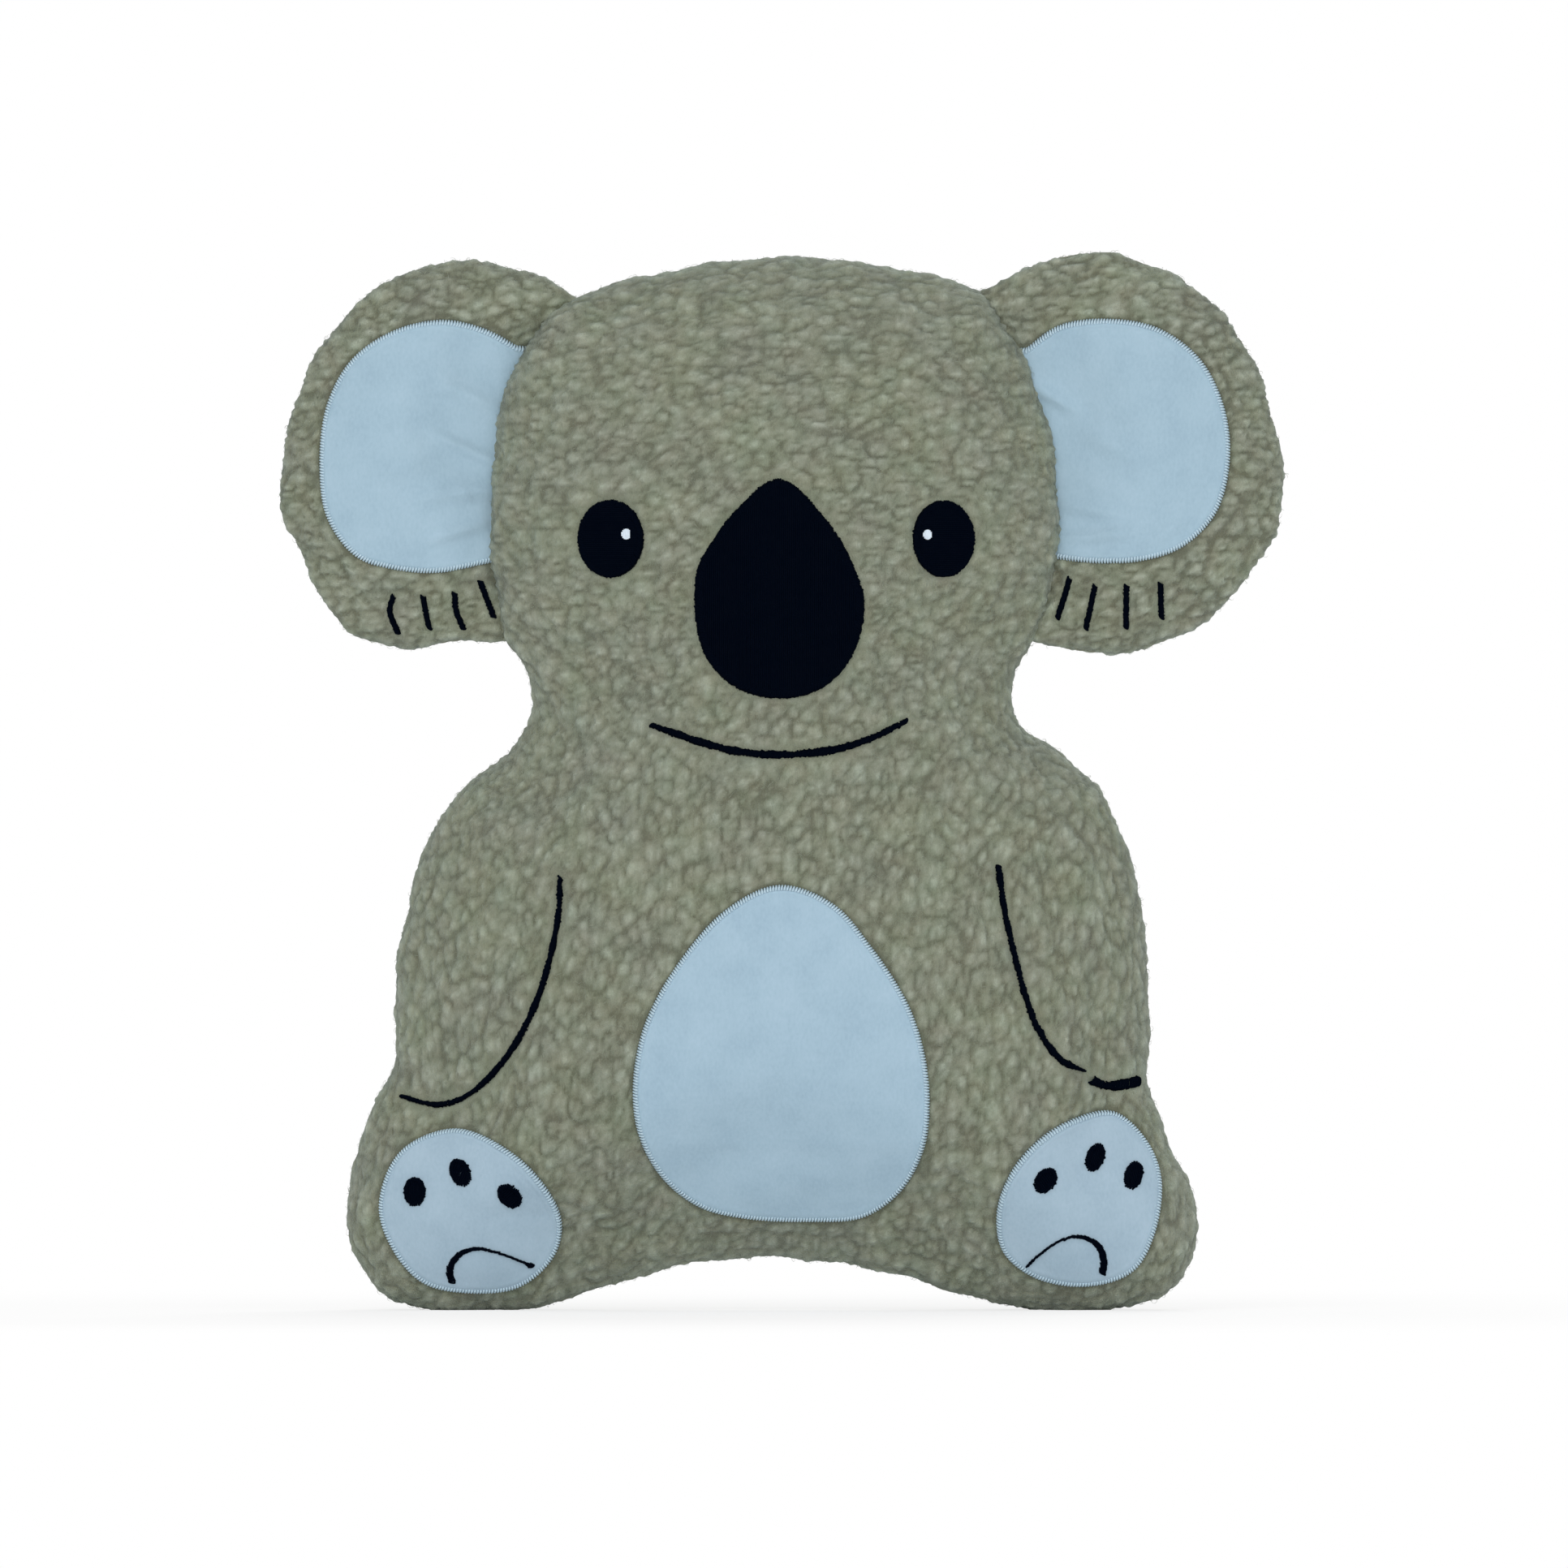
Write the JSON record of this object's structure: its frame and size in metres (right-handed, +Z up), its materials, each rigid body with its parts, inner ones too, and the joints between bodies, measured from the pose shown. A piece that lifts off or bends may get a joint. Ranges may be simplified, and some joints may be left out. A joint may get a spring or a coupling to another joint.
{
  "type": "plush koala",
  "caption": "Flat stuffed koala of curly fleece with pale smooth patches, embroidered face and paws, and soft ears that bend at the head.",
  "frame": {"origin": "on the floor under the middle of the toy's box, where the two soles stand", "axes": "+Z up, -Y the way the face looks, +X to the right in the front view"},
  "size_m": [0.247, 0.0641, 0.26],
  "materials": {
    "fleece": "matte",
    "patch": "matte",
    "patch_thread": "matte",
    "black_thread": "satin",
    "white_thread": "satin",
    "seam_thread": "matte",
    "filling": "matte"
  },
  "bodies": {
    "body": {"front_panel": "fleece", "back_panel": "fleece", "body_filling": "filling", "body_seam_thread": "seam_thread", "belly_patch": "patch", "belly_patch_edge_stitching": "patch_thread", "nose": "black_thread", "mouth_line": "black_thread", "left_arm_line": "black_thread", "right_arm_line": "black_thread", "right_paw_line": "black_thread", "left_eye": "black_thread", "left_eye_highlight": "white_thread", "right_eye": "black_thread", "right_eye_highlight": "white_thread", "left_foot_patch": "patch", "left_foot_patch_edge_stitching": "patch_thread", "left_toe_1": "black_thread", "left_toe_2": "black_thread", "left_toe_3": "black_thread", "left_heel_line": "black_thread", "right_foot_patch": "patch", "right_foot_patch_edge_stitching": "patch_thread", "right_toe_1": "black_thread", "right_toe_2": "black_thread", "right_toe_3": "black_thread", "right_heel_line": "black_thread"},
    "left_ear": {"left_ear_front_panel": "fleece", "left_ear_back_panel": "fleece", "left_ear_filling": "filling", "left_ear_seam_thread": "seam_thread", "left_ear_patch": "patch", "left_ear_patch_edge_stitching": "patch_thread", "left_ear_tuft_line_1": "black_thread", "left_ear_tuft_line_2": "black_thread", "left_ear_tuft_line_3": "black_thread", "left_ear_tuft_line_4": "black_thread"},
    "right_ear": {"right_ear_front_panel": "fleece", "right_ear_back_panel": "fleece", "right_ear_filling": "filling", "right_ear_seam_thread": "seam_thread", "right_ear_patch": "patch", "right_ear_patch_edge_stitching": "patch_thread", "right_ear_tuft_line_1": "black_thread", "right_ear_tuft_line_2": "black_thread", "right_ear_tuft_line_3": "black_thread", "right_ear_tuft_line_4": "black_thread"}
  },
  "joints": [
    {"name": "left_ear_bend", "type": "hinge", "parent": "body", "child": "left_ear", "pos_m": [-0.07075, 0, 0.21657], "axis": [0.2024, 0, 0.9793], "range_deg": [-30, 30], "stiffness_Nm_per_rad": 0.05},
    {"name": "right_ear_bend", "type": "hinge", "parent": "body", "child": "right_ear", "pos_m": [0.06596, 0, 0.21559], "axis": [0.1512, 0, -0.9885], "range_deg": [-30, 30], "stiffness_Nm_per_rad": 0.05}
  ]
}
